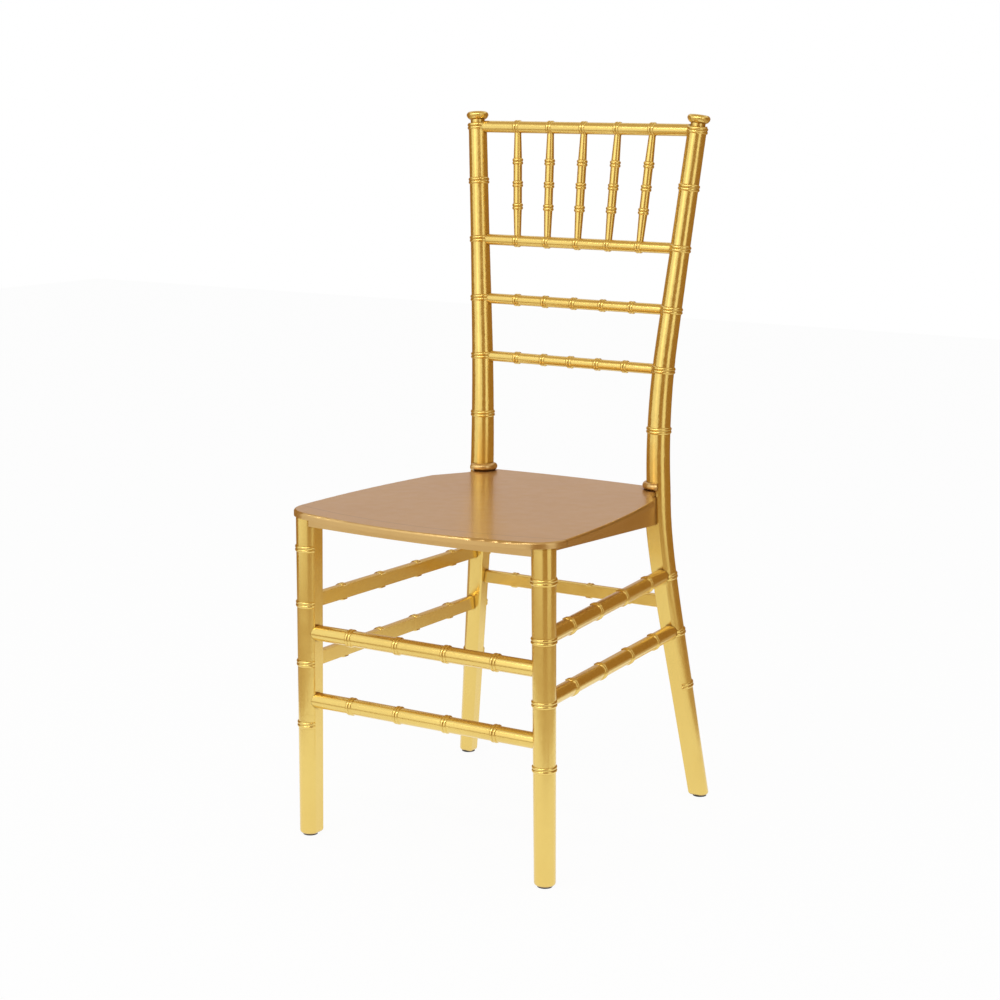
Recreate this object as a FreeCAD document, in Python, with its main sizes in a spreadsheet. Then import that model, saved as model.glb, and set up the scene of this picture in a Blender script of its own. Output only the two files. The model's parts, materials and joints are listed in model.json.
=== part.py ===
import FreeCAD, Part
import math
import os
from types import SimpleNamespace

import Sketcher
from FreeCAD import Placement, Rotation, Vector

# Chiavari chair in satin gold moulded resin, built from separate bars like a knock-down chair.
# The chair faces -Y, +X is to the right of someone looking at its front, and +Z is up.
# The origin lies on the floor, under the middle of the chair's box.
# Each rear leg and its back post are one bent upright. It lies in a vertical plane that stands
# at 45 degrees in plan, so that the chair is narrow at the seat and wider at top and foot.
# Below the seat a leg is round outside and square towards the middle of the chair, and the
# rails between the legs are half round outside and flat inside. Rails seat in shallow
# mortises with round spigots, and four bolts hold the seat moulding to the legs.

# Driving dimensions, in millimetres and degrees
SIZES = {
    # Seat slab. Its outline is placed from the front legs and from the posts
    "seat_height": 430.0,
    "seat_thickness": 8.0,
    "seat_edge_radius": 3.0,
    "seat_front_overhang": 47.7,
    "seat_front_radius": 620.0,
    "seat_side_overhang": 23.3,
    "seat_side_radius": 1400.0,
    "seat_widest_setback": 35.3,
    "seat_corner_radius": 45.0,
    "seat_corner_inset": 33.5,
    "seat_corner_run": 64.5,
    "seat_kink_ahead": 78.8,
    "seat_neck_outside": 6.0,
    "seat_neck_ahead": 32.8,
    "seat_rear_overhang": 18.2,
    "seat_rear_crown": 6.5,
    "lip_radius": 5.5,
    "lip_rise": 5.0,
    "lip_sweep": 130.0,
    # Skirt and ribs below the slab, placed from the axes of the legs
    "skirt_wall": 3.0,
    "skirt_front_overhang": 10.7,
    "skirt_front_radius": 1400.0,
    "skirt_side_front_overhang": 4.8,
    "skirt_side_rear_overhang": 4.0,
    "skirt_rear_overhang": 14.9,
    "skirt_front_depth": 12.0,
    "skirt_side_front_depth": 8.6,
    "skirt_rear_depth": 38.0,
    "rib_depth": 8.0,
    "rib_thickness": 2.5,
    "rib_spacing": 85.0,
    # Front legs: the axis under the seat, and how far the foot stands out and back from it
    "front_leg_x": 170.2,
    "front_leg_y": -189.95,
    "front_leg_splay": 4.3,
    "front_leg_rake": 6.5,
    "front_foot_radius": 13.4,
    "front_top_radius": 15.0,
    "front_spigot_radius": 6.0,
    "front_spigot_length": 5.0,
    # Uprights: the axis is nearest to the middle of the chair at the waist, above the seat
    "waist_x": 135.8,
    "waist_y": 174.95,
    "waist_rise": 61.2,
    "bend_radius": 1133.0,
    "lower_lean": 10.55,
    "upper_lean": 7.16,
    "upright_foot_radius": 12.5,
    "upright_seat_radius": 16.1,
    "upright_slim_radius": 13.05,
    "upright_top_radius": 12.5,
    # Finials
    "finial_height": 20.1,
    "finial_neck_radius": 9.7,
    "finial_neck_length": 5.7,
    "finial_bun_radius": 15.0,
    "finial_bun_height": 11.4,
    "finial_widest_rise": 6.0,
    "finial_cap_half_width": 11.3,
    "finial_cap_crown": 0.6,
    "finial_under_radius": 8.4,
    "finial_edge_radius": 4.6,
    # The legs' flats and their inner corner, as shares of the leg's radius
    "flat_share": 0.93,
    "corner_share": 0.16,
    "toe_round": 3.6,
    # How far the rings of the legs lie below the top of the seat
    "front_ring_1": 280.5,
    "front_ring_2": 199.5,
    "front_ring_3": 122.0,
    "front_ring_4": 50.0,
    "rear_ring_1": 270.4,
    "rear_ring_2": 196.0,
    "rear_ring_3": 118.5,
    # How far the rings of the posts lie above it
    "back_ring_1": 79.3,
    "back_ring_2": 159.1,
    "back_ring_3": 237.4,
    "back_ring_4": 317.2,
    "back_ring_5": 395.8,
    "back_ring_6": 469.1,
    # One ring is two half-round beads side by side, and stops short of a leg's flats (degrees)
    "bead_width": 4.6,
    "bead_radius": 2.6,
    "bead_rise": 1.9,
    "ring_stop": 3.0,
    # Back rails and spindles
    "crest_radius": 7.9,
    "spindle_rail_radius": 7.3,
    "back_rail_radius": 7.0,
    "back_spigot_radius": 4.0,
    "back_spigot_length": 6.0,
    "spindle_end_radius": 4.6,
    "spindle_body_radius": 5.8,
    "spindle_ring_spacing": 30.3,
    "spindle_spigot_radius": 2.6,
    "spindle_spigot_length": 3.0,
    # Rails between the legs. The side rails lie just above the rings of the legs
    "front_rail_upper_drop": 159.2,
    "front_rail_lower_drop": 248.3,
    "rear_rail_drop": 155.4,
    "side_rail_rise": 1.6,
    "rail_radius": 10.0,
    "rear_rail_radius": 9.3,
    "rail_inner_depth": 5.5,
    "rail_spigot_radius": 4.5,
    "rail_spigot_length": 6.0,
    "front_rail_ring_spacing": 70.5,
    "side_rail_ring_spacing": 80.0,
    "rear_rail_ring_spacing": 59.5,
    # Glides, bolts and inserts
    "glide_head_radius": 9.4,
    "glide_head_height": 2.0,
    "glide_stem_radius": 4.8,
    "glide_stem_length": 12.0,
    "bolt_radius": 3.0,
    "bolt_head_radius": 5.0,
    "bolt_head_height": 4.0,
    "bolt_reach": 10.0,
    "bolt_key_radius": 2.6,
    "bolt_key_depth": 2.2,
    "insert_radius": 4.4,
    "insert_length": 12.0,
    "front_bolt_drop": 14.2,
    "rear_bolt_drop": 27.0,
    "bolt_inset": 7.0,
    # How deep the shoulders of a bar are let in
    "shoulder_depth": 0.5,
    # Gaps: round a spigot or in a mortise, round a leg in the seat, at a socket's blind end
    "fit_gap": 0.15,
    "leg_gap": 0.3,
    "end_gap": 0.4,
}

BACK_KNOTS = 5
RAIL_KNOTS = 4
SPINDLE_KNOTS = 3
SEAT_RIBS = 3
UPRIGHT_STATIONS = 12
LEG_STATIONS = 6
LEG_COUNT = 4

doc = FreeCAD.newDocument("chiavari_chair")
sheet = doc.addObject("Spreadsheet::Sheet", "Sizes")
for row, (alias, number) in enumerate(SIZES.items(), start=1):
    sheet.set(f"A{row}", str(number))
    sheet.setAlias(f"A{row}", alias)
doc.recompute()


class Size:
    """A number together with the sheet expression that gives it."""

    def __init__(self, number, text):
        self.number = float(number)
        self.text = text

    @staticmethod
    def of(value):
        return value if isinstance(value, Size) else Size(value, repr(float(value)))

    def __add__(self, other):
        other = Size.of(other)
        return Size(self.number + other.number, f"({self.text} + {other.text})")

    def __sub__(self, other):
        other = Size.of(other)
        return Size(self.number - other.number, f"({self.text} - {other.text})")

    def __mul__(self, other):
        other = Size.of(other)
        return Size(self.number * other.number, f"({self.text} * {other.text})")

    def __truediv__(self, other):
        other = Size.of(other)
        return Size(self.number / other.number, f"({self.text} / {other.text})")

    def __neg__(self):
        return Size(-self.number, f"(0 - {self.text})")

    __radd__ = __add__
    __rmul__ = __mul__


def root(size):
    return Size(math.sqrt(size.number), f"sqrt({size.text})")


def sine(size):
    return Size(math.sin(math.radians(size.number)), f"sin({size.text})")


def cosine(size):
    return Size(math.cos(math.radians(size.number)), f"cos({size.text})")


def open_angle(share, stop):
    """How far a ring goes round a leg whose two flats lie at this share of its radius."""
    lost = 2 * (math.degrees(math.acos(share.number)) + stop.number)
    return Size(270 - lost, f"270 deg - 2 * (acos({share.text}) + {stop.text} * 1 deg)")


def flat_back_angle(share):
    """What is left of a full turn round a circle that a flat cuts at this share of its radius."""
    lost = 2 * math.degrees(math.acos(share.number))
    return Size(360 - lost, f"360 deg - 2 * acos({share.text})")


dim = SimpleNamespace(**{alias: Size(sheet.get(alias), f"Sizes.{alias}") for alias in SIZES})
ZERO = Size(0, "0")
bound = []


def bind(thing, **sizes):
    """Tie properties of an object to sheet expressions."""
    for name, size in sizes.items():
        setattr(thing, name, size.number)
        thing.setExpression(name, size.text)
        bound.append((thing, name, size.number))
    return thing


def vector(x, y, z):
    return Vector(Size.of(x).number, Size.of(y).number, Size.of(z).number)


UP = Vector(0, 0, 1)


def along(direction, across):
    """The rotation that turns Z to a direction and keeps Y as near as it can to another."""
    return Rotation(Vector(), across, direction, "ZYX")


# Primitives and booleans


def placed_cylinder(name, radius, height, place):
    piece = doc.addObject("Part::Cylinder", name)
    bind(piece, Radius=radius, Height=height)
    piece.Placement = place
    return piece


def cylinder(name, radius, height, base, direction=Vector(0, 0, 1)):
    return placed_cylinder(name, radius, height, Placement(base, Rotation(UP, direction)))


def box(name, length, width, height, corner, rotation=Rotation()):
    piece = doc.addObject("Part::Box", name)
    bind(piece, Length=length, Width=width, Height=height)
    piece.Placement = Placement(corner, rotation)
    return piece


def fuse(name, pieces):
    piece = doc.addObject("Part::MultiFuse", name)
    piece.Shapes = pieces
    return piece


def group(name, pieces):
    piece = doc.addObject("Part::Compound", name)
    piece.Links = pieces
    return piece


def cut(name, base, tools):
    """Cut a piece with tools that stay clear of one another."""
    tool = tools[0] if len(tools) == 1 else group(name + "_tools", tools)
    piece = doc.addObject("Part::Cut", name)
    piece.Base = base
    piece.Tool = tool
    return piece


def mirror(name, source):
    piece = doc.addObject("Part::Mirroring", name)
    piece.Source = source
    piece.Normal = Vector(1, 0, 0)
    return piece


def loft(name, sections, ruled):
    piece = doc.addObject("Part::Loft", name)
    piece.Sections = sections
    piece.Solid = True
    piece.Ruled = ruled
    return piece


# Sketches and bodies


def new_body(name, placement=Placement()):
    body = doc.addObject("PartDesign::Body", name)
    body.Placement = placement
    return body


def origin_feature(body, role):
    return next(part for part in body.Origin.OriginFeatures if part.Role == role)


def sketch(body, name, plane):
    drawing = body.newObject("Sketcher::SketchObject", name)
    drawing.AttachmentSupport = [(origin_feature(body, plane), "")]
    drawing.MapMode = "FlatFace"
    return drawing


def pin(drawing, curve, end, kind, axis, size):
    """Fix one coordinate of a curve's end point, measured from the sketch's origin."""
    if size is ZERO:
        drawing.addConstraint(Sketcher.Constraint("PointOnObject", curve, end, axis))
        return
    index = drawing.addConstraint(Sketcher.Constraint(kind, -1, 1, curve, end, size.number))
    drawing.setExpression(f"Constraints[{index}]", size.text)


def curve_to(start, end, radius):
    """An arc of less than half a circle. It bulges to its right where the radius is positive."""
    chord = end - start
    rise = abs(radius) - math.sqrt(radius * radius - chord.Length * chord.Length / 4)
    right = Vector(chord.y, -chord.x, 0).normalize()
    middle = (start + end) * 0.5 + right * math.copysign(rise, radius)
    return Part.Arc(start, middle, end)


def outline(drawing, corners):
    """Draw one closed outline. A corner is (x, y) or (x, y, radius of the arc that follows)."""
    first = drawing.GeometryCount
    count = len(corners)
    points = [vector(corner[0], corner[1], 0) for corner in corners]
    for index, corner in enumerate(corners):
        start = points[index]
        end = points[(index + 1) % count]
        if len(corner) == 3:
            drawing.addGeometry(curve_to(start, end, corner[2].number))
        else:
            drawing.addGeometry(Part.LineSegment(start, end))
    starts = []
    for index, corner in enumerate(corners):
        curve = first + index
        ends = (1, 2)
        start = min(ends, key=lambda end: (drawing.getPoint(curve, end) - points[index]).Length)
        starts.append(start)
        pin(drawing, curve, start, "DistanceX", -2, corner[0])
        pin(drawing, curve, start, "DistanceY", -1, corner[1])
    for index, corner in enumerate(corners):
        curve = first + index
        following = (index + 1) % count
        drawing.addConstraint(
            Sketcher.Constraint(
                "Coincident", curve, 3 - starts[index], first + following, starts[following]
            )
        )
        if len(corner) == 3:
            radius = corner[2] if corner[2].number > 0 else -corner[2]
            fixed = drawing.addConstraint(Sketcher.Constraint("Radius", curve, radius.number))
            drawing.setExpression(f"Constraints[{fixed}]", radius.text)
    return drawing


def revolve(body, name, profile, angle=None):
    """Turn a profile about the body's Z axis, all round or evenly to both sides of its plane."""
    feature = body.newObject("PartDesign::Revolution", name)
    feature.Profile = profile
    feature.ReferenceAxis = (origin_feature(body, "Z_Axis"), [""])
    if angle is not None:
        feature.Midplane = True
        bind(feature, Angle=angle)
    return feature


def pad(body, name, profile, length, down=False):
    feature = body.newObject("PartDesign::Pad", name)
    feature.Profile = profile
    feature.Reversed = down
    bind(feature, Length=length)
    return feature


def pocket_through(body, name, profile):
    """Cut a profile right through, both ways from its plane."""
    feature = body.newObject("PartDesign::Pocket", name)
    feature.Profile = profile
    feature.Type = "ThroughAll"
    feature.Midplane = True
    return feature


def repeat(body, name, feature, length, count):
    pattern = body.newObject("PartDesign::LinearPattern", name)
    pattern.Originals = [feature]
    pattern.Direction = (origin_feature(body, "Z_Axis"), [""])
    pattern.Occurrences = count
    bind(pattern, Length=length)
    body.Tip = pattern
    return pattern


# Heights, all measured from the top of the seat


def below_seat(drop):
    return dim.seat_height - drop


def above_seat(rise):
    return dim.seat_height + rise


seat_underside = below_seat(dim.seat_thickness)
waist_height = above_seat(dim.waist_rise)
front_rings = [below_seat(getattr(dim, f"front_ring_{number}")) for number in range(1, 5)]
rear_rings = [below_seat(getattr(dim, f"rear_ring_{number}")) for number in range(1, 4)]
back_rings = [above_seat(getattr(dim, f"back_ring_{number}")) for number in range(1, 7)]
slim_height = back_rings[3]
finial_top = back_rings[5] + dim.finial_height

# Axes of the legs


def upright_spread(height):
    """How far the upright stands out from its waist, along its own plane."""
    low = waist_height - dim.bend_radius * sine(dim.lower_lean)
    high = waist_height + dim.bend_radius * sine(dim.upper_lean)
    if height.number < low.number:
        slope = sine(dim.lower_lean) / cosine(dim.lower_lean)
        return dim.bend_radius * (Size.of(1) - cosine(dim.lower_lean)) + (low - height) * slope
    if height.number > high.number:
        slope = sine(dim.upper_lean) / cosine(dim.upper_lean)
        return dim.bend_radius * (Size.of(1) - cosine(dim.upper_lean)) + (height - high) * slope
    rise = height - waist_height
    return dim.bend_radius - root(dim.bend_radius * dim.bend_radius - rise * rise)


def upright_x(height):
    return dim.waist_x + upright_spread(height) * math.sqrt(0.5)


def upright_y(height):
    return dim.waist_y + upright_spread(height) * math.sqrt(0.5)


def between(low, high, share):
    return low + (high - low) * share


def upright_radius(height):
    """The uprights are thickest at the seat, and slimmest at the foot and from the spindles up."""
    if height.number < dim.seat_height.number:
        share = height / dim.seat_height
        return between(dim.upright_foot_radius, dim.upright_seat_radius, share)
    if height.number < slim_height.number:
        share = (height - dim.seat_height) / (slim_height - dim.seat_height)
        return between(dim.upright_seat_radius, dim.upright_slim_radius, share)
    share = (height - slim_height) / (finial_top - slim_height)
    return between(dim.upright_slim_radius, dim.upright_top_radius, share)


def front_share(height):
    """How far down its front leg a height lies: 0 under the seat and 1 on the floor."""
    return (seat_underside - height) / seat_underside


def front_x(height):
    return dim.front_leg_x + dim.front_leg_splay * front_share(height)


def front_y(height):
    return dim.front_leg_y + dim.front_leg_rake * front_share(height)


def front_radius(height):
    return between(dim.front_top_radius, dim.front_foot_radius, front_share(height))


# A leg is its axis, its radius, and the signs of x and y towards its square inner corner
front_leg = SimpleNamespace(x=front_x, y=front_y, radius=front_radius, inward=(-1, 1))
upright = SimpleNamespace(x=upright_x, y=upright_y, radius=upright_radius, inward=(-1, -1))


def leg_point(leg, height):
    return vector(leg.x(height), leg.y(height), height)


def leg_direction(leg, height):
    step = Size.of(0.5)
    return (leg_point(leg, height + step) - leg_point(leg, height - step)).normalize()


def round_section(name, leg, height, grow=ZERO):
    circle = doc.addObject("Part::Circle", name)
    bind(circle, Radius=leg.radius(height) + grow)
    circle.Placement = Placement(leg_point(leg, height), Rotation())
    return circle


def square_section(name, leg, height, grow=ZERO):
    """Round outside, with two flats that meet in a rounded corner towards the chair's middle."""
    radius = leg.radius(height) + grow
    flat = radius * dim.flat_share
    edge = root(radius * radius - flat * flat)
    corner = radius * dim.corner_share
    diagonal = radius * math.sqrt(0.5)
    inner_x, inner_y = leg.inward
    turn = inner_x * inner_y
    section = doc.addObject("Sketcher::SketchObject", name)
    section.Placement = Placement(leg_point(leg, height), Rotation())
    return outline(
        section,
        [
            (flat * inner_x, edge * -inner_y),
            (flat * inner_x, (flat - corner) * inner_y, corner * turn),
            ((flat - corner) * inner_x, flat * inner_y),
            (edge * -inner_x, flat * inner_y, radius * turn),
            (diagonal * -inner_x, diagonal * -inner_y, radius * turn),
        ],
    )


def stations(low, high, count):
    return [low + (high - low) * (step / (count - 1)) for step in range(count)]


def column(name, leg, section, heights, grow=ZERO):
    sections = [
        section(f"{name}_{index}", leg, height, grow) for index, height in enumerate(heights)
    ]
    return loft(name, sections, ruled=len(heights) == 2)


def leg_toe(name, leg):
    """The rounded bottom end of a leg, as bands of a quarter round."""
    low = dim.glide_head_height
    sections = []
    for index, turned in enumerate((0, 30, 60, 90)):
        height = low + dim.toe_round * (1 - math.cos(math.radians(turned)))
        inset = dim.toe_round * (1 - math.sin(math.radians(turned)))
        sections.append(square_section(f"{name}_{index}", leg, height, -inset))
    return loft(name, sections, ruled=True)


def beads(drawing, core, radius, middle, side=1):
    """The profile of one ring: two half-round beads side by side, down to a core radius."""
    rise = (radius - dim.bead_radius + dim.bead_rise) * side
    arc = dim.bead_radius * side
    half = root(
        dim.bead_radius * dim.bead_radius - dim.bead_width * dim.bead_width / 4
    )
    low = middle - dim.bead_width
    high = middle + dim.bead_width
    waist = rise + half * side
    return outline(
        drawing,
        [
            (core * side, low),
            (rise, low, arc),
            (waist, middle, arc),
            (rise, high),
            (core * side, high),
        ],
    )


def leg_ring(name, leg, height, stops_at_flats):
    """A ring round a leg, its beads turned about the leg's own axis."""
    centre = leg_point(leg, height)
    axis = leg_direction(leg, height)
    corner = math.degrees(math.atan2(leg.inward[1], leg.inward[0]))
    start = corner
    if stops_at_flats:
        start += 45 + math.degrees(math.acos(dim.flat_share.number)) + dim.ring_stop.number
    radial = Rotation(UP, start).multVec(Vector(1, 0, 0))
    profile = doc.addObject("Sketcher::SketchObject", name + "_profile")
    profile.Placement = Placement(centre, Rotation(radial, axis, Vector(), "YXZ"))
    radius = leg.radius(height)
    beads(profile, radius / 2, radius, ZERO)
    ring = doc.addObject("Part::Revolution", name)
    ring.Source = profile
    ring.Base = centre
    ring.Axis = axis
    ring.Solid = True
    if stops_at_flats:
        bind(ring, Angle=open_angle(dim.flat_share, dim.ring_stop))
    return ring


# Turned bars


def add_rings(body, plane, radius, middle, spacing, count, angle=None):
    """Rings along a bar, all round it or over an angle centred on -Y."""
    side = 1 if angle is None else -1
    first = middle - spacing * ((count - 1) / 2)
    drawing = sketch(body, body.Name + "_bead_profile", plane)
    profile = beads(drawing, radius - dim.bead_radius, radius, first, side)
    ring = revolve(body, body.Name + "_ring", profile, angle)
    repeat(body, body.Name + "_rings", ring, spacing * (count - 1), count)


def span(start, end):
    """The direction and the distance from one point to another."""
    step = [b - a for a, b in zip(start, end)]
    distance = root(step[0] * step[0] + step[1] * step[1] + step[2] * step[2])
    return vector(*step).normalize(), distance


class Bar:
    """Where a bar lies between two axis points, and what it needs of its neighbours."""

    def __init__(self, name, start, end, seats, across=Vector(0, 1, 0)):
        direction, reach = span(start, end)
        self.name = name
        self.length = reach - seats[0] - seats[1]
        self.middle = reach / 2 - seats[0]
        self.direction = direction
        self.place = Placement(
            vector(*start) + direction * seats[0].number, along(direction, across)
        )

    def spigots(self, body, plane, radius, blind, waist=None):
        """The turned core: a spigot at each end and, where there is one, the bar between."""
        corners = [(ZERO, -blind), (radius, -blind)]
        if waist is not None:
            corners += [(radius, ZERO)] + waist + [(radius, self.length)]
        corners += [(radius, self.length + blind), (ZERO, self.length + blind)]
        profile = outline(sketch(body, self.name + "_profile", plane), corners)
        revolve(body, self.name + "_core", profile)

    def void(self, radius, spigot_radius, blind, back=None):
        """The bar's own envelope with its fit gap, to cut its neighbours with."""
        wide = radius + dim.fit_gap
        room = placed_cylinder(self.name + "_room", wide, self.length, self.place)
        if back is not None:
            depth = back + dim.fit_gap
            corner = self.place.multVec(Vector(-wide.number, depth.number, 0))
            rest = box(
                self.name + "_back", wide * 2, wide, self.length, corner, self.place.Rotation
            )
            room = cut(self.name + "_half_room", room, [rest])
        reach = blind + dim.end_gap
        mouth = Placement(self.place.Base - self.direction * reach.number, self.place.Rotation)
        bore = placed_cylinder(
            self.name + "_bore", spigot_radius + dim.fit_gap, self.length + reach * 2, mouth
        )
        return fuse(self.name + "_void", [room, bore])


def round_bar(name, start, end, seats, radius, spacing):
    """A back rail: round, with rings, and with a spigot and a square shoulder at each end."""
    bar = Bar(name, start, end, seats)
    body = new_body(name, bar.place)
    waist = [(radius, ZERO), (radius, bar.length)]
    bar.spigots(body, "XZ_Plane", dim.back_spigot_radius, dim.back_spigot_length, waist)
    add_rings(body, "XZ_Plane", radius, bar.middle, spacing, BACK_KNOTS)
    return body, bar.void(radius, dim.back_spigot_radius, dim.back_spigot_length)


def flat_backed_bar(name, start, end, seats, inward, radius, spacing):
    """A rail between two legs: round outside, flat towards the middle of the chair."""
    bar = Bar(name, start, end, seats, inward)
    body = new_body(name, bar.place)
    depth = dim.rail_inner_depth
    half_back = root(radius * radius - depth * depth)
    section = outline(
        sketch(body, name + "_section", "XY_Plane"),
        [(-half_back, depth, radius), (ZERO, -radius, radius), (half_back, depth)],
    )
    pad(body, name + "_length", section, bar.length)
    bar.spigots(body, "XZ_Plane", dim.rail_spigot_radius, dim.rail_spigot_length)
    angle = flat_back_angle(depth / radius)
    add_rings(body, "YZ_Plane", radius, bar.middle, spacing, RAIL_KNOTS, angle)
    return body, bar.void(radius, dim.rail_spigot_radius, dim.rail_spigot_length, depth)


def seat_depth(leg_radius, bar_radius):
    """How far from a round piece's axis a bar's square shoulder is let in all round."""
    return root(leg_radius * leg_radius - bar_radius * bar_radius) - dim.shoulder_depth


# Back rails

BACK_RAILS = {
    "crest_rail": (back_rings[5], dim.crest_radius),
    "spindle_rail": (back_rings[3], dim.spindle_rail_radius),
    "back_rail_upper": (back_rings[2], dim.back_rail_radius),
    "back_rail_lower": (back_rings[1], dim.back_rail_radius),
}

nodes = {}
upright_voids = []
front_leg_voids = []


def knot_spacing(height):
    """The rings of a back rail divide the clear span between the uprights evenly."""
    clear = (upright_x(height) - upright_radius(height)) * 2
    return clear / (BACK_KNOTS + 1)


back_bars = {}
for name, (height, radius) in BACK_RAILS.items():
    seat = seat_depth(upright_radius(height), radius)
    start = (-upright_x(height), upright_y(height), height)
    end = (upright_x(height), upright_y(height), height)
    body_name = name if name.startswith("back") else name + "_bar"
    back_bars[name], void = round_bar(
        body_name, start, end, (seat, seat), radius, knot_spacing(height)
    )
    upright_voids.append(void)

# Spindles stand on the rings of the spindle rail and reach the rings of the crest rail


def spindle(name, number):
    low, low_radius = BACK_RAILS["spindle_rail"]
    high, high_radius = BACK_RAILS["crest_rail"]
    place = number - (BACK_KNOTS - 1) / 2
    start = (knot_spacing(low) * place, upright_y(low), low)
    end = (knot_spacing(high) * place, upright_y(high), high)
    seats = [seat_depth(radius, dim.spindle_end_radius) for radius in (low_radius, high_radius)]
    bar = Bar(name, start, end, seats)
    body = new_body(name, bar.place)
    spacing = dim.spindle_ring_spacing
    waist = [
        (dim.spindle_end_radius, ZERO),
        (dim.spindle_body_radius, bar.middle - spacing),
        (dim.spindle_body_radius, bar.middle + spacing),
        (dim.spindle_end_radius, bar.length),
    ]
    bar.spigots(body, "XZ_Plane", dim.spindle_spigot_radius, dim.spindle_spigot_length, waist)
    add_rings(body, "XZ_Plane", dim.spindle_body_radius, bar.middle, spacing, SPINDLE_KNOTS)
    void = bar.void(dim.spindle_end_radius, dim.spindle_spigot_radius, dim.spindle_spigot_length)
    return body, void


spindle_voids = []
for number in range(BACK_KNOTS):
    name = f"spindle_{number + 1}"
    nodes[name], void = spindle(name, number)
    spindle_voids.append(void)

spindle_room = fuse("spindle_room", spindle_voids)
for name, bar in back_bars.items():
    nodes[name] = bar if name.startswith("back") else cut(name, bar, [spindle_room])

# Rails between the legs


def leg_rail(name, legs, heights, mirrored, inward, radius, spacing):
    """A flat-backed rail between two legs, or between a leg and its own mirror image."""
    start = [legs[0].x(heights[0]), legs[0].y(heights[0]), heights[0]]
    end = [legs[1].x(heights[1]), legs[1].y(heights[1]), heights[1]]
    if mirrored:
        start[0] = -start[0]
    seats = [seat_depth(leg.radius(height), radius) for leg, height in zip(legs, heights)]
    return flat_backed_bar(name, start, end, seats, inward, radius, spacing)


for level, drop in (
    ("upper", dim.front_rail_upper_drop),
    ("lower", dim.front_rail_lower_drop),
):
    name = "front_rail_" + level
    height = below_seat(drop)
    nodes[name], void = leg_rail(
        name,
        (front_leg, front_leg),
        (height, height),
        True,
        Vector(0, 1, 0),
        dim.rail_radius,
        dim.front_rail_ring_spacing,
    )
    front_leg_voids.append(void)

rear_rail_height = below_seat(dim.rear_rail_drop)
nodes["rear_rail"], void = leg_rail(
    "rear_rail",
    (upright, upright),
    (rear_rail_height, rear_rail_height),
    True,
    Vector(0, -1, 0),
    dim.rear_rail_radius,
    dim.rear_rail_ring_spacing,
)
upright_voids.append(void)

for level, heights in (
    ("upper", (front_rings[2], rear_rings[2])),
    ("lower", (front_rings[1], rear_rings[1])),
):
    name = "side_rail_right_" + level
    heights = [height + dim.side_rail_rise for height in heights]
    nodes[name], void = leg_rail(
        name,
        (front_leg, upright),
        heights,
        False,
        Vector(-1, 0, 0),
        dim.rail_radius,
        dim.side_rail_ring_spacing,
    )
    nodes["side_rail_left_" + level] = mirror("side_rail_left_" + level, nodes[name])
    front_leg_voids.append(void)
    upright_voids.append(void)

# Bolts through the seat's flanges into threaded inserts in the legs


def flat_face_y(leg, height):
    return leg.y(height) + leg.radius(height) * dim.flat_share * leg.inward[1]


def bolt_line(leg, drop):
    """The point on a leg's flat where its bolt enters, and the direction into the leg."""
    height = below_seat(drop)
    x = leg.x(height) + dim.bolt_inset * leg.inward[0]
    return vector(x, flat_face_y(leg, height), height), Vector(0, -leg.inward[1], 0)


def fastening(end, leg, drop):
    """A bolt, its insert, the hole for the insert in the leg and the hole in the flange."""
    face, into = bolt_line(leg, drop)
    seat_face = face - into * (dim.leg_gap + dim.skirt_wall).number
    grip = dim.leg_gap + dim.skirt_wall + dim.bolt_reach
    head_end = seat_face - into * dim.bolt_head_height.number
    shank = cylinder(end + "_bolt_shank", dim.bolt_radius, grip, seat_face, into)
    head = cylinder(
        end + "_bolt_head", dim.bolt_head_radius, dim.bolt_head_height, head_end, into
    )
    key = doc.addObject("Part::Prism", end + "_bolt_key")
    key.Polygon = 6
    bind(key, Circumradius=dim.bolt_key_radius, Height=dim.bolt_key_depth)
    key.Placement = Placement(head_end, Rotation(UP, into))
    bolt = cut(end + "_bolt", fuse(end + "_bolt_blank", [shank, head]), [key])
    thread = cylinder(
        end + "_insert_thread", dim.bolt_radius + dim.fit_gap, dim.insert_length, face, into
    )
    sleeve = cylinder(end + "_insert_sleeve", dim.insert_radius, dim.insert_length, face, into)
    insert = cut(end + "_insert", sleeve, [thread])
    mouth = face - into * dim.skirt_wall.number
    depth = dim.skirt_wall + dim.insert_length + dim.end_gap
    insert_hole = cylinder(
        end + "_insert_hole", dim.insert_radius + dim.fit_gap, depth, mouth, into
    )
    flange_hole = cylinder(
        end + "_flange_hole",
        dim.bolt_radius + dim.fit_gap,
        dim.skirt_wall * 4,
        face - into * (dim.skirt_wall * 2).number,
        into,
    )
    counterbore = cylinder(
        end + "_counterbore",
        dim.bolt_head_radius + dim.leg_gap,
        dim.skirt_wall * 3,
        seat_face - into * (dim.skirt_wall * 3).number,
        into,
    )
    return SimpleNamespace(
        bolt=bolt, insert=insert, hole=insert_hole, seat_holes=[flange_hole, counterbore]
    )


front_fastening = fastening("front", front_leg, dim.front_bolt_drop)
rear_fastening = fastening("rear", upright, dim.rear_bolt_drop)


def both_sides(name, pieces):
    """A group of separate solids: the pieces and their mirror images."""
    return group(name, pieces + [mirror(piece.Name + "_left", piece) for piece in pieces])


nodes["seat_bolts"] = both_sides("seat_bolts", [front_fastening.bolt, rear_fastening.bolt])
nodes["leg_inserts"] = both_sides("leg_inserts", [front_fastening.insert, rear_fastening.insert])

# Glides: a flat head under the foot and a stem in its bore


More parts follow.
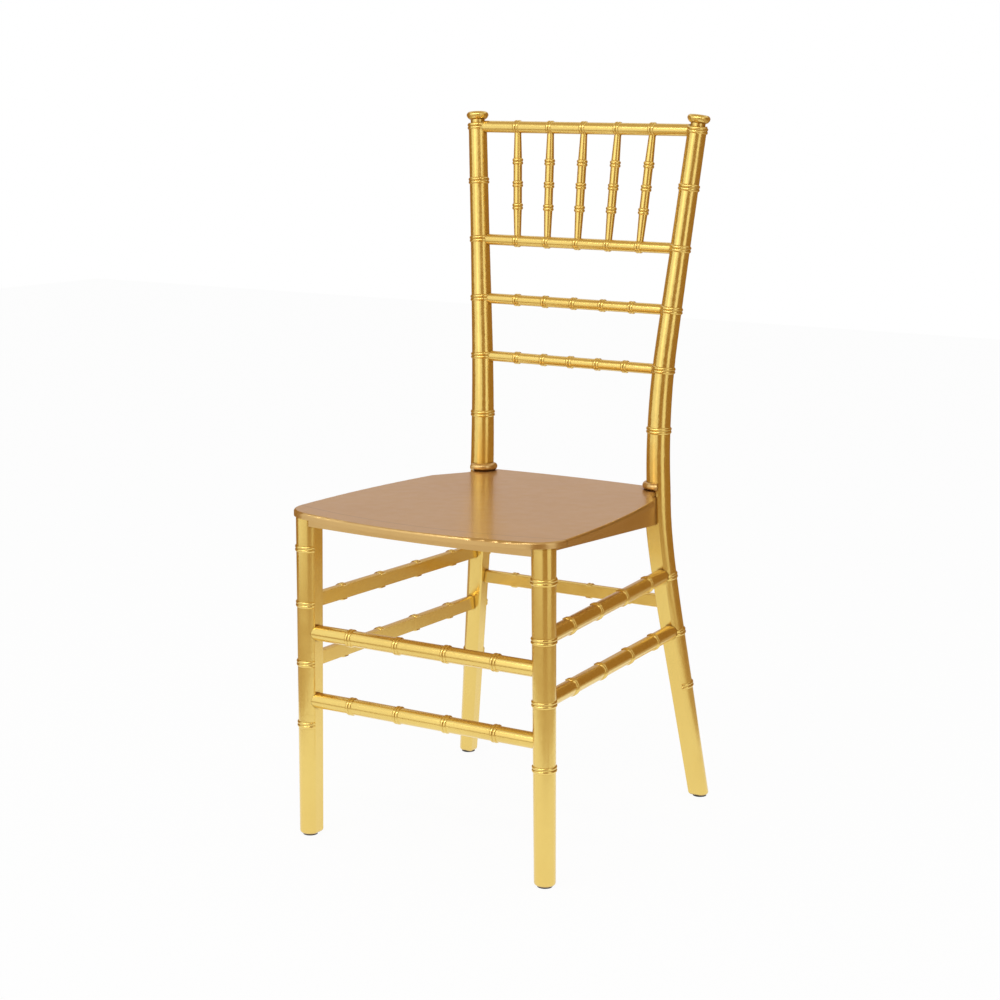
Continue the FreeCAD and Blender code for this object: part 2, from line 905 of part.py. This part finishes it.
def glide(end, leg):
    """A glide, and the bore for its stem."""
    foot = leg_point(leg, dim.glide_head_height)
    ground = Vector(foot.x, foot.y, 0)
    head = cylinder(end + "_glide_head", dim.glide_head_radius, dim.glide_head_height, ground)
    stem_height = dim.glide_head_height + dim.glide_stem_length
    stem = cylinder(end + "_glide_stem", dim.glide_stem_radius, stem_height, ground)
    bore = cylinder(
        end + "_glide_bore",
        dim.glide_stem_radius + dim.fit_gap,
        dim.glide_stem_length + dim.end_gap,
        foot,
    )
    right = fuse(f"foot_glide_{end}_right", [head, stem])
    nodes[f"foot_glide_{end}_right"] = right
    nodes[f"foot_glide_{end}_left"] = mirror(f"foot_glide_{end}_left", right)
    return bore


front_glide_bore = glide("front", front_leg)
rear_glide_bore = glide("rear", upright)

# Front legs

toe_top = dim.glide_head_height + dim.toe_round
front_heights = [toe_top, seat_underside]
front_spigot = cylinder(
    "front_spigot",
    dim.front_spigot_radius,
    dim.front_spigot_length + dim.seat_thickness,
    leg_point(front_leg, seat_underside) - UP * dim.seat_thickness.number,
)
front_pieces = [
    column("front_column", front_leg, square_section, front_heights),
    leg_toe("front_toe", front_leg),
    front_spigot,
]
for number, height in enumerate(front_rings, start=1):
    front_pieces.append(leg_ring(f"front_leg_ring_{number}", front_leg, height, True))
front_voids = front_leg_voids + [front_fastening.hole, front_glide_bore]
nodes["front_leg_right"] = cut(
    "front_leg_right", fuse("front_leg_blank", front_pieces), front_voids
)
nodes["front_leg_left"] = mirror("front_leg_left", nodes["front_leg_right"])

# Uprights: rear leg, back post and finial in one


def finial():
    """The bun on its neck, turned about the upright's own axis."""
    axis = leg_direction(upright, back_rings[5])
    height = dim.finial_neck_length + dim.finial_bun_height
    foot = leg_point(upright, finial_top) - axis * height.number
    body = new_body("finial", Placement(foot, Rotation(UP, axis)))
    neck = dim.finial_neck_length
    shoulder = height - dim.finial_cap_crown
    half = dim.finial_cap_half_width
    cap = (half * half + dim.finial_cap_crown * dim.finial_cap_crown) / dim.finial_cap_crown / 2
    profile = outline(
        sketch(body, "finial_profile", "XZ_Plane"),
        [
            (ZERO, -neck),
            (dim.finial_neck_radius, -neck),
            (dim.finial_neck_radius, neck, dim.finial_under_radius),
            (dim.finial_bun_radius, neck + dim.finial_widest_rise, dim.finial_edge_radius),
            (half, shoulder, cap),
            (ZERO, height),
        ],
    )
    revolve(body, "finial_turning", profile)
    return body


post_top = back_rings[5] + dim.bead_width
leg_heights = stations(toe_top, seat_underside, LEG_STATIONS)
post_heights = stations(seat_underside, post_top, UPRIGHT_STATIONS)
upright_pieces = [
    column("rear_leg_column", upright, square_section, leg_heights),
    column("post_column", upright, round_section, post_heights),
    leg_toe("rear_toe", upright),
    finial(),
]
for number, height in enumerate(rear_rings, start=1):
    upright_pieces.append(leg_ring(f"rear_leg_ring_{number}", upright, height, True))
for number, height in enumerate(back_rings, start=1):
    upright_pieces.append(leg_ring(f"post_ring_{number}", upright, height, False))
rear_voids = upright_voids + [rear_fastening.hole, rear_glide_bore]
nodes["upright_right"] = cut("upright_right", fuse("upright_blank", upright_pieces), rear_voids)
nodes["upright_left"] = mirror("upright_left", nodes["upright_right"])

# Seat moulding: slab with a rounded edge, lips round the posts, skirt, flanges and ribs


def whole_outline(right, front=()):
    """Complete the right half of an outline, given from front to rear, with its mirror image."""
    arcs = [front] + [corner[2:] for corner in right[:-1]]
    mirrored = [(-corner[0], corner[1]) + arc for corner, arc in zip(right, arcs)]
    return right + mirrored[::-1]


def arc_rise(radius, half_chord):
    """How far an arc bulges over its chord."""
    return radius - root(radius * radius - half_chord * half_chord)


post_x = upright_x(dim.seat_height)
post_y = upright_y(dim.seat_height)
seat_front_reach = dim.seat_front_overhang - dim.front_leg_y
seat_half_width = dim.front_leg_x + dim.seat_side_overhang
seat_widest_y = dim.front_leg_y + dim.seat_widest_setback


def side_edge_x(y):
    """The seat's right edge, an arc about its widest point."""
    return seat_half_width - arc_rise(dim.seat_side_radius, y - seat_widest_y)


seat_body = new_body("seat_body", Placement(Vector(0, 0, seat_underside.number), Rotation()))
corner_x = seat_half_width - dim.seat_corner_inset
corner_y = dim.seat_corner_run - seat_front_reach
kink_y = post_y - dim.seat_kink_ahead
rear_edge_y = post_y + dim.seat_rear_overhang - dim.seat_rear_crown
rear_arc = (post_x * post_x + dim.seat_rear_crown * dim.seat_rear_crown) / dim.seat_rear_crown / 2
right_edge = [
    (
        corner_x,
        arc_rise(dim.seat_front_radius, corner_x) - seat_front_reach,
        dim.seat_corner_radius,
    ),
    (side_edge_x(corner_y), corner_y, dim.seat_side_radius),
    (side_edge_x(kink_y), kink_y),
    (post_x + dim.seat_neck_outside, post_y - dim.seat_neck_ahead),
    (post_x, post_y),
    (post_x, rear_edge_y, rear_arc),
]
slab_outline = outline(
    sketch(seat_body, "slab_outline", "XY_Plane"),
    whole_outline(right_edge, (dim.seat_front_radius,)),
)
slab = pad(seat_body, "slab", slab_outline, dim.seat_thickness)
doc.recompute()
slab_top = dim.seat_thickness.number
top_edges = [
    f"Edge{index}"
    for index, edge in enumerate(slab.Shape.Edges, start=1)
    if abs(edge.CenterOfMass.z - slab_top) < slab_top / 4
]
rounding = seat_body.newObject("PartDesign::Fillet", "slab_edge")
rounding.Base = (slab, top_edges)
bind(rounding, Radius=dim.seat_edge_radius)

front_flat_x = front_leg.x(seat_underside) - front_leg.radius(seat_underside) * dim.flat_share
front_flat_y = flat_face_y(front_leg, seat_underside)
rear_flat_x = upright.x(seat_underside) - upright.radius(seat_underside) * dim.flat_share
rear_flat_y = flat_face_y(upright, seat_underside)
flange = dim.leg_gap + dim.skirt_wall
skirt_front_y = dim.front_leg_y - dim.skirt_front_overhang
skirt_side_front_x = dim.front_leg_x + dim.skirt_side_front_overhang
skirt_side_rear_x = post_x + dim.skirt_side_rear_overhang
skirt_rear_y = post_y + dim.skirt_rear_overhang


def side_skirt_x(y):
    """The inside of the right-hand skirt wall."""
    slope = (skirt_side_rear_x - skirt_side_front_x) / (rear_flat_y - front_flat_y)
    return skirt_side_front_x - dim.skirt_wall + slope * (y - front_flat_y)


def front_skirt_y(x):
    """The outside of the front skirt wall, an arc that starts and ends at the front legs."""
    ends = skirt_front_y - arc_rise(dim.skirt_front_radius, dim.front_leg_x)
    return ends + arc_rise(dim.skirt_front_radius, x)


skirt_outside = [
    (dim.front_leg_x, skirt_front_y),
    (dim.front_leg_x, dim.front_leg_y),
    (skirt_side_front_x, dim.front_leg_y),
    (skirt_side_front_x, front_flat_y),
    (skirt_side_rear_x, rear_flat_y),
    (skirt_side_rear_x, post_y),
    (post_x, post_y),
    (post_x, skirt_rear_y),
]
inner_x = front_flat_x - flange
inner_radius = dim.skirt_front_radius - dim.skirt_wall
skirt_inside = [
    (inner_x, front_skirt_y(inner_x) + dim.skirt_wall),
    (inner_x, front_flat_y + flange),
    (side_skirt_x(front_flat_y + flange), front_flat_y + flange),
    (side_skirt_x(rear_flat_y - flange), rear_flat_y - flange),
    (rear_flat_x - flange, rear_flat_y - flange),
    (rear_flat_x - flange, skirt_rear_y - dim.skirt_wall),
]
skirt_walls = sketch(seat_body, "skirt_walls", "XY_Plane")
outline(skirt_walls, whole_outline(skirt_outside, (dim.skirt_front_radius,)))
outline(skirt_walls, whole_outline(skirt_inside, (inner_radius,)))
pad(seat_body, "skirt", skirt_walls, dim.skirt_rear_depth, down=True)

# The skirt is shallow at the front and deepens along its sides
slope_cut = sketch(seat_body, "skirt_slope", "YZ_Plane")
below = -dim.skirt_rear_depth * 2
outline(
    slope_cut,
    [
        (-seat_front_reach, -dim.skirt_front_depth),
        (-seat_front_reach, below),
        (rear_flat_y, below),
        (rear_flat_y, -dim.skirt_rear_depth),
        (front_flat_y + flange, -dim.skirt_side_front_depth),
        (front_flat_y + flange, -dim.skirt_front_depth),
    ],
)
pocket_through(seat_body, "skirt_slope_cut", slope_cut)

# Ribs run from wall to wall, a few from side to side and a few from front to rear
rib_half = dim.rib_thickness / 2
half_wall = dim.skirt_wall / 2
across = sketch(seat_body, "ribs_across", "XY_Plane")
lengthwise = sketch(seat_body, "ribs_lengthwise", "XY_Plane")
rib_rear = skirt_rear_y - half_wall
for number in range(SEAT_RIBS):
    place = dim.rib_spacing * (number - (SEAT_RIBS - 1) / 2)
    low = place - rib_half
    high = place + rib_half
    low_end = side_skirt_x(low) + half_wall
    high_end = side_skirt_x(high) + half_wall
    rib_front = front_skirt_y(place) + half_wall
    outline(across, [(-low_end, low), (low_end, low), (high_end, high), (-high_end, high)])
    outline(
        lengthwise, [(low, rib_front), (high, rib_front), (high, rib_rear), (low, rib_rear)]
    )
pad(seat_body, "ribs_across_pad", across, dim.rib_depth, down=True)
pad(seat_body, "ribs_lengthwise_pad", lengthwise, dim.rib_depth, down=True)


def post_lip():
    """A half-round lip on the seat, round the front and inner side of the right-hand post."""
    lip = doc.addObject("Part::Torus", "post_lip")
    bind(lip, Radius1=upright_radius(dim.seat_height), Radius2=dim.lip_radius)
    bind(lip, Angle3=dim.lip_sweep)
    start = 225 - dim.lip_sweep.number / 2
    centre = leg_point(upright, dim.seat_height) + UP * dim.lip_rise.number
    lip.Placement = Placement(centre, Rotation(UP, start))
    return lip


lip = post_lip()
seat_blank = fuse("seat_blank", [seat_body, lip, mirror("post_lip_left", lip)])


def leg_rooms():
    """The room that the right-hand legs and their spigot need in the seat."""
    spigot_room = cylinder(
        "front_spigot_room",
        dim.front_spigot_radius + dim.fit_gap,
        dim.front_spigot_length + dim.end_gap,
        leg_point(front_leg, seat_underside),
    )
    return [
        column("front_leg_room", front_leg, square_section, front_heights, dim.leg_gap),
        column("rear_leg_room", upright, square_section, leg_heights, dim.leg_gap),
        column("post_room", upright, round_section, post_heights, dim.leg_gap),
        spigot_room,
    ]


right_room = fuse(
    "right_room", leg_rooms() + front_fastening.seat_holes + rear_fastening.seat_holes
)
nodes["seat"] = cut("seat", seat_blank, [right_room, mirror("left_room", right_room)])

doc.recompute()

# Check everything before anything is written

for thing in doc.Objects:
    faults = [state for state in thing.State if state in ("Invalid", "Error")]
    if faults:
        raise RuntimeError(f"{thing.Name} did not build: {faults}")
for thing, name, number in bound:
    value = getattr(thing, name)
    if abs(getattr(value, "Value", value) - number) > 1e-6:
        raise RuntimeError(f"{thing.Name}.{name} does not follow its size")
for name, piece in nodes.items():
    shape = piece.Shape
    expected = LEG_COUNT if name in ("seat_bolts", "leg_inserts") else 1
    if shape.isNull() or not shape.isValid() or len(shape.Solids) != expected:
        raise RuntimeError(f"{name} does not have the solids that it should")

os.makedirs("parts", exist_ok=True)
for name, piece in nodes.items():
    if piece.Label != name:
        piece.Label = name
    piece.Shape.exportStep(f"parts/{name}.step")
    print(f"{name}: {len(piece.Shape.Solids)} solid, {piece.Shape.Volume / 1000:.2f} cm3")

whole = FreeCAD.BoundBox()
for piece in nodes.values():
    whole.add(piece.Shape.optimalBoundingBox())
print(f"x {whole.XMin:.2f} to {whole.XMax:.2f}")
print(f"y {whole.YMin:.2f} to {whole.YMax:.2f}")
print(f"z {whole.ZMin:.2f} to {whole.ZMax:.2f}")
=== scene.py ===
import json
import math

import bpy
from mathutils import Matrix, Vector


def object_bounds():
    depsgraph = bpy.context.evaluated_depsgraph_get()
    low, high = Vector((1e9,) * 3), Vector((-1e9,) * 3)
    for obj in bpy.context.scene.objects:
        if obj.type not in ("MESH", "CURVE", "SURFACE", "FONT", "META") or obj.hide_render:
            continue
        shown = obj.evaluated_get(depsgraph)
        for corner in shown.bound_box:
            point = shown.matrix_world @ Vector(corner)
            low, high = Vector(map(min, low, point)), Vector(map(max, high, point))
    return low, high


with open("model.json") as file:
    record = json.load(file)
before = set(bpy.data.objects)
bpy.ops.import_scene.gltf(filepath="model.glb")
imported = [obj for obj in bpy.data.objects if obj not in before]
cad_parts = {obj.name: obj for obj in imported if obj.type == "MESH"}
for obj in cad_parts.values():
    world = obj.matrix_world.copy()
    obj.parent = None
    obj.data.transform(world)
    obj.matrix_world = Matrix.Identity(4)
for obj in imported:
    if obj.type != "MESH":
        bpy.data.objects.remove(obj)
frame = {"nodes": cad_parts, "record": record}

cad_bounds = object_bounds()
scene = bpy.context.scene

# Camera: the photograph's viewpoint, in metres and degrees
CAMERA_PLACE = Vector((1.3527, -2.2827, 0.9373))
CAMERA_YAW = 30.705
CAMERA_PITCH = 10.854
CAMERA_ROLL = 0.56
CAMERA_REACH = 50.0
FRAME_PIXELS = 1000
FOCAL_PIXELS = 2095.7
SENSOR_MM = 36.0

# Levels of the studio, where 1 is white
WHITE = (1.0, 1.0, 1.0)
BLACK = (0.0, 0.0, 0.0)
BACKDROP_LEVEL = 1.0
ROOM_LEVEL = 0.6

# Floor, in metres
FLOOR_COLOUR = (0.95, 0.95, 0.94)
FLOOR_ROUGHNESS = 0.9
FLOOR_SPECULAR = 0.1
FLOOR_HALF_SIZE = 6.0
# How much of its own shading the floor shows where it is seen, the rest being plain white
FLOOR_SHADOW_SHARE = 0.05

# Lamps: bearing in degrees, distance, height and size in metres, and power in watts
LAMPS = {
    "key_left": dict(bearing=-45.0, distance=3.2, height=1.5, size=(1.2, 2.4), power=6.0),
    "fill_right": dict(bearing=42.0, distance=3.2, height=1.3, size=(0.6, 2.4), power=1.5),
    "strip_front": dict(bearing=-20.0, distance=2.1, height=2.2, size=(3.4, 0.25), power=21.0),
}
TOP_PLACE = Vector((0.0, 0.3, 3.2))
TOP_SIZE = (2.4, 2.4)
TOP_POWER = 6.0
LIGHT_TARGET = Vector((0.0, 0.0, 0.5))

# Panels that only reflections see: bearing and breadth in degrees round the chair, and colour
UMBER = (0.34, 0.17, 0.03)
DUSK = (0.62, 0.50, 0.47)
OCHRE = (0.56, 0.42, 0.27)
STANDING_PANELS = {
    "panel_front": (11.5, 41.0, UMBER),
    "panel_right": (88.5, 57.0, UMBER),
    "panel_back_right": (138.0, 42.0, UMBER),
    "panel_back": (180.0, 42.0, DUSK),
    "panel_back_left": (-128.0, 62.0, UMBER),
}
PANEL_DISTANCE = 1.7
PANEL_HEIGHT = 1.7
# The mats lie in a ring between the chair and the panels, just above the floor
MATS = 12
MAT_INNER = 0.75
MAT_LIFT = 0.002
CEILING_BEARINGS = (45.0, 135.0, 225.0, 315.0)
CEILING_REACH = 2.0
CEILING_HEIGHT = 2.3

# Gold paint: noise in features to the metre, spans of the noise, and lengths in metres
NOISE_SPAN = (0.3, 0.7)
CLOUD_SCALE = 9.0
CLOUD_SPAN = (0.30, 0.68)
PATCH_SCALE = 60.0
RIPPLE_SCALE = 70.0
RIPPLE_STRENGTH = 0.02
RIPPLE_DEPTH = 0.0004
# Painted shade in the grooves: how far the occlusion looks, its samples, and the span over
# which the colour darkens
GROOVE_REACH = 0.006
GROOVE_SAMPLES = 8
GROOVE_SPAN = (0.25, 0.85)
COAT_WEIGHT = 0.35
COAT_ROUGHNESS = 0.12

# Painted shade along a crease in the seat: lengths in metres, and the shade as a share of the
# seat's colour. Its arc shares its middle with the seat's front edge
SEAT_FRONT_RADIUS = 0.620
CREASE_SETBACK = 0.030
CREASE_HALF_WIDTH = 0.0022
PAINTED_CREASE_SHADE = 0.78

# Glides, bolts and inserts
NYLON = (0.018, 0.016, 0.014)
SCUFFED_NYLON = (0.06, 0.054, 0.046)
SCUFF_SPAN = (0.35, 0.75)
STEEL = (0.55, 0.55, 0.56)
BRASS = (0.72, 0.55, 0.25)
MARK_DULLING = 0.8
MARK_ROUGHENING = 0.15

# The two kinds of maths node
NUMBER = "ShaderNodeMath"
VECTOR = "ShaderNodeVectorMath"


def principled(tree):
    return next(node for node in tree.nodes if node.type == "BSDF_PRINCIPLED")


def new_material(name):
    material = bpy.data.materials.new(name)
    material.use_nodes = True
    tree = material.node_tree
    return material, tree, principled(tree)


def maths(tree, kind, operation, *terms):
    """A maths node on its terms, which are sockets, numbers or vectors."""
    node = tree.nodes.new(kind)
    node.operation = operation
    for slot, term in zip(node.inputs, terms):
        if isinstance(term, (float, tuple)):
            slot.default_value = term
        else:
            tree.links.new(term, slot)
    return node


def object_noise(tree, scale, detail):
    """Noise in the object's own space, with a scale in features to the metre."""
    place = tree.nodes.new("ShaderNodeTexCoord")
    noise = tree.nodes.new("ShaderNodeTexNoise")
    noise.inputs["Scale"].default_value = scale
    noise.inputs["Detail"].default_value = detail
    tree.links.new(place.outputs["Object"], noise.inputs["Vector"])
    return noise.outputs["Fac"]


def ramp(tree, value, low, high, span=NOISE_SPAN):
    """From one colour to another, as the value crosses the span."""
    node = tree.nodes.new("ShaderNodeValToRGB")
    for element, position, colour in zip(node.color_ramp.elements, span, (low, high)):
        element.position = position
        element.color = (*colour, 1.0)
    tree.links.new(value, node.inputs["Fac"])
    return node.outputs["Color"]


def grey_ramp(tree, value, low, high):
    return ramp(tree, value, (low,) * 3, (high,) * 3)


def multiply(tree, first, second):
    node = tree.nodes.new("ShaderNodeMix")
    node.data_type = "RGBA"
    node.blend_type = "MULTIPLY"
    node.inputs["Factor"].default_value = 1.0
    tree.links.new(first, node.inputs["A"])
    tree.links.new(second, node.inputs["B"])
    return node.outputs["Result"]


def bump(tree, shader, height, strength, distance):
    node = tree.nodes.new("ShaderNodeBump")
    node.inputs["Strength"].default_value = strength
    node.inputs["Distance"].default_value = distance
    tree.links.new(height, node.inputs["Height"])
    tree.links.new(node.outputs["Normal"], shader.inputs["Normal"])


def gold_paint(name, pale, deep, painted_groove_shade, rough_low, rough_high, metal):
    """Satin metallic gold with a faint moulded ripple, and painted shade that darkens it in its
    grooves.
    """
    material, tree, shader = new_material(name)
    cloudy = object_noise(tree, CLOUD_SCALE, detail=2.0)
    colour = ramp(tree, cloudy, deep, pale, CLOUD_SPAN)
    # Painted shade: ambient occlusion darkens the gold's colour in its grooves and between
    # parts
    groove_occlusion = tree.nodes.new("ShaderNodeAmbientOcclusion")
    groove_occlusion.samples = GROOVE_SAMPLES
    groove_occlusion.inputs["Distance"].default_value = GROOVE_REACH
    painted_shade = ramp(tree, groove_occlusion.outputs["AO"], painted_groove_shade, WHITE, GROOVE_SPAN)
    tree.links.new(multiply(tree, colour, painted_shade), shader.inputs["Base Color"])
    shader.inputs["Metallic"].default_value = metal
    patchy = object_noise(tree, PATCH_SCALE, detail=3.0)
    tree.links.new(grey_ramp(tree, patchy, rough_low, rough_high), shader.inputs["Roughness"])
    shader.inputs["Coat Weight"].default_value = COAT_WEIGHT
    shader.inputs["Coat Roughness"].default_value = COAT_ROUGHNESS
    ripple = object_noise(tree, RIPPLE_SCALE, detail=1.0)
    bump(tree, shader, ripple, RIPPLE_STRENGTH, RIPPLE_DEPTH)
    return material


def paint_crease_shade(material):
    """Painted shade of a faint crease in the seat's top, a little behind its front edge and
    parallel to it.
    """
    tree = material.node_tree
    shader = principled(tree)
    colour = shader.inputs["Base Color"].links[0].from_socket
    place = tree.nodes.new("ShaderNodeTexCoord").outputs["Object"]
    arc_middle = (0.0, cad_bounds[0][1] + SEAT_FRONT_RADIUS, 0.0)
    arc_radius = SEAT_FRONT_RADIUS - CREASE_SETBACK
    reach = maths(tree, VECTOR, "SUBTRACT", place, arc_middle).outputs["Vector"]
    level = maths(tree, VECTOR, "MULTIPLY", reach, (1.0, 1.0, 0.0)).outputs["Vector"]
    length = maths(tree, VECTOR, "LENGTH", level).outputs["Value"]
    off_crease = maths(tree, NUMBER, "SUBTRACT", length, arc_radius).outputs["Value"]
    distance = maths(tree, NUMBER, "ABSOLUTE", off_crease).outputs["Value"]
    # Painted shade: the seat's colour darkens along the crease's arc
    painted_shade = tree.nodes.new("ShaderNodeMapRange")
    painted_shade.inputs["From Max"].default_value = CREASE_HALF_WIDTH
    painted_shade.inputs["To Min"].default_value = PAINTED_CREASE_SHADE
    tree.links.new(distance, painted_shade.inputs["Value"])
    tree.links.new(multiply(tree, colour, painted_shade.outputs["Result"]), shader.inputs["Base Color"])


def glide_rubber():
    """Dark nylon with fine scuffs."""
    material, tree, shader = new_material("glide_rubber")
    scuffs = object_noise(tree, scale=260.0, detail=5.0)
    colour = ramp(tree, scuffs, NYLON, SCUFFED_NYLON, SCUFF_SPAN)
    tree.links.new(colour, shader.inputs["Base Color"])
    tree.links.new(grey_ramp(tree, scuffs, 0.45, 0.7), shader.inputs["Roughness"])
    bump(tree, shader, scuffs, strength=0.25, distance=0.0005)
    return material


def turned_metal(name, colour, rough):
    """Bare fastener metal with fine turning marks."""
    material, tree, shader = new_material(name)
    marks = object_noise(tree, scale=900.0, detail=2.0)
    dull = tuple(channel * MARK_DULLING for channel in colour)
    tree.links.new(ramp(tree, marks, dull, colour), shader.inputs["Base Color"])
    shader.inputs["Metallic"].default_value = 1.0
    roughness = grey_ramp(tree, marks, rough, rough + MARK_ROUGHENING)
    tree.links.new(roughness, shader.inputs["Roughness"])
    bump(tree, shader, marks, strength=0.1, distance=0.0002)
    return material


MATERIALS = {
    "gold_resin": gold_paint(
        "gold_resin",
        pale=(0.87, 0.64, 0.18),
        deep=(0.83, 0.59, 0.155),
        # The colour of the painted shade in the grooves
        painted_groove_shade=(0.38, 0.26, 0.16),
        rough_low=0.21,
        rough_high=0.27,
        metal=0.9,
    ),
    "seat_resin": gold_paint(
        "seat_resin",
        pale=(0.70, 0.46, 0.17),
        deep=(0.67, 0.43, 0.15),
        # The colour of the painted shade in the grooves
        painted_groove_shade=(0.40, 0.28, 0.18),
        rough_low=0.28,
        rough_high=0.34,
        metal=0.85,
    ),
    "glide_rubber": glide_rubber(),
    "bolt_steel": turned_metal("bolt_steel", STEEL, rough=0.3),
    "insert_brass": turned_metal("insert_brass", BRASS, rough=0.35),
}


def dress_nodes():
    """Give every CAD node the material of its slot in the record."""
    slots = {part["node"]: part["material_slot"] for part in frame["record"]["subparts"]}
    for name, node in frame["nodes"].items():
        node.data.materials.clear()
        node.data.materials.append(MATERIALS[slots[name]])


def camera():
    """The photograph's camera, turned by its yaw, pitch and roll."""
    yaw, pitch, roll = (math.radians(a) for a in (CAMERA_YAW, CAMERA_PITCH, CAMERA_ROLL))
    forward = Vector(
        (-math.sin(yaw) * math.cos(pitch), math.cos(yaw) * math.cos(pitch), -math.sin(pitch))
    )
    level = Vector((math.cos(yaw), math.sin(yaw), 0.0))
    above = level.cross(forward)
    right = level * math.cos(roll) + above * math.sin(roll)
    up = above * math.cos(roll) - level * math.sin(roll)
    data = bpy.data.cameras.new("camera")
    data.sensor_width = SENSOR_MM
    data.lens = FOCAL_PIXELS / FRAME_PIXELS * SENSOR_MM
    data.clip_end = CAMERA_REACH
    holder = bpy.data.objects.new("camera", data)
    turn = Matrix((right, up, -forward)).transposed().to_4x4()
    holder.matrix_world = Matrix.Translation(CAMERA_PLACE) @ turn
    scene.collection.objects.link(holder)
    scene.camera = holder


def seen_directly(tree):
    """1 for rays from the camera, and for those that a mirror or glass passes on."""
    path = tree.nodes.new("ShaderNodeLightPath")
    total = path.outputs["Is Camera Ray"]
    for name in ("Is Glossy Ray", "Is Transmission Ray"):
        total = maths(tree, NUMBER, "MAXIMUM", total, path.outputs[name]).outputs["Value"]
    return total


def mix_to_output(tree, share, first, second, output):
    """Send the second shader to the output by its share, and the first by the rest."""
    mix = tree.nodes.new("ShaderNodeMixShader")
    tree.links.new(share, mix.inputs["Fac"])
    tree.links.new(first, mix.inputs[1])
    tree.links.new(second, mix.inputs[2])
    tree.links.new(mix.outputs[0], output.inputs["Surface"])


def background(tree, level):
    node = tree.nodes.new("ShaderNodeBackground")
    node.inputs["Color"].default_value = (*WHITE, 1.0)
    node.inputs["Strength"].default_value = level
    return node.outputs[0]


def room():
    """A dimmer white for lighting than for what is seen."""
    world = bpy.data.worlds.new("room")
    scene.world = world
    world.use_nodes = True
    tree = world.node_tree
    tree.nodes.clear()
    output = tree.nodes.new("ShaderNodeOutputWorld")
    light = background(tree, ROOM_LEVEL)
    white = background(tree, BACKDROP_LEVEL)
    mix_to_output(tree, seen_directly(tree), light, white, output)


def at_bearing(bearing, distance, height):
    """A place round the chair, by its bearing in degrees to the right of the camera's side."""
    turn = math.radians(CAMERA_YAW + bearing)
    return Vector((math.sin(turn) * distance, -math.cos(turn) * distance, height))


def area_light(name, place, size, power):
    data = bpy.data.lights.new(name, "AREA")
    data.shape = "RECTANGLE"
    data.size, data.size_y = size
    data.energy = power
    holder = bpy.data.objects.new(name, data)
    holder.location = place
    holder.rotation_euler = (LIGHT_TARGET - place).to_track_quat("-Z", "Y").to_euler()
    scene.collection.objects.link(holder)


def studio_lights():
    for name, lamp in LAMPS.items():
        place = at_bearing(lamp["bearing"], lamp["distance"], lamp["height"])
        area_light(name, place, lamp["size"], lamp["power"])
    area_light("top", TOP_PLACE, TOP_SIZE, TOP_POWER)


def panel(name, corners, colour):
    """A panel that only reflections see, which gives the gold its darker bands."""
    mesh = bpy.data.meshes.new(name)
    mesh.from_pydata(corners, [], [(0, 1, 2, 3)])
    material, tree, shader = new_material(name)
    shader.inputs["Base Color"].default_value = (*BLACK, 1.0)
    shader.inputs["Specular IOR Level"].default_value = 0.0
    shader.inputs["Emission Color"].default_value = (*colour, 1.0)
    shader.inputs["Emission Strength"].default_value = 1.0
    mesh.materials.append(material)
    holder = bpy.data.objects.new(name, mesh)
    scene.collection.objects.link(holder)
    holder.visible_camera = False
    holder.visible_diffuse = False
    holder.visible_shadow = False


def sector(bearing, breadth, near, far):
    """Four corners over a breadth of bearings, between two edges of (distance, height)."""
    left = bearing - breadth / 2
    right = bearing + breadth / 2
    return [
        at_bearing(left, *near),
        at_bearing(right, *near),
        at_bearing(right, *far),
        at_bearing(left, *far),
    ]


def panels():
    foot = (PANEL_DISTANCE, 0.0)
    head = (PANEL_DISTANCE, PANEL_HEIGHT)
    for name, (bearing, breadth, colour) in STANDING_PANELS.items():
        panel(name, sector(bearing, breadth, foot, head), colour)
    inner = (MAT_INNER, MAT_LIFT)
    outer = (PANEL_DISTANCE, MAT_LIFT)
    mat_breadth = 360.0 / MATS
    for i in range(MATS):
        panel(f"mat_{i}", sector(i * mat_breadth, mat_breadth, inner, outer), OCHRE)
    ceiling = [at_bearing(b, CEILING_REACH, CEILING_HEIGHT) for b in CEILING_BEARINGS]
    panel("ceiling", ceiling, OCHRE)


def floor():
    """A white floor that takes light as a real one, and looks nearly plain white."""
    corners = [(-1, -1, 0), (1, -1, 0), (1, 1, 0), (-1, 1, 0)]
    mesh = bpy.data.meshes.new("floor")
    mesh.from_pydata([Vector(c) * FLOOR_HALF_SIZE for c in corners], [], [(0, 1, 2, 3)])
    ground = bpy.data.objects.new("floor", mesh)
    scene.collection.objects.link(ground)
    material, tree, shader = new_material("floor")
    shader.inputs["Base Color"].default_value = (*FLOOR_COLOUR, 1.0)
    shader.inputs["Roughness"].default_value = FLOOR_ROUGHNESS
    shader.inputs["Specular IOR Level"].default_value = FLOOR_SPECULAR
    white = tree.nodes.new("ShaderNodeEmission")
    white.inputs["Strength"].default_value = BACKDROP_LEVEL
    output = next(node for node in tree.nodes if node.type == "OUTPUT_MATERIAL")
    plain_share = 1.0 - FLOOR_SHADOW_SHARE
    share = maths(tree, NUMBER, "MULTIPLY", seen_directly(tree), plain_share).outputs["Value"]
    mix_to_output(tree, share, shader.outputs[0], white.outputs[0], output)
    mesh.materials.append(material)


# Paint a line of shade along the crease in the seat
paint_crease_shade(MATERIALS["seat_resin"])
dress_nodes()
camera()
room()
studio_lights()
panels()
floor()

scene.view_settings.view_transform = "Standard"
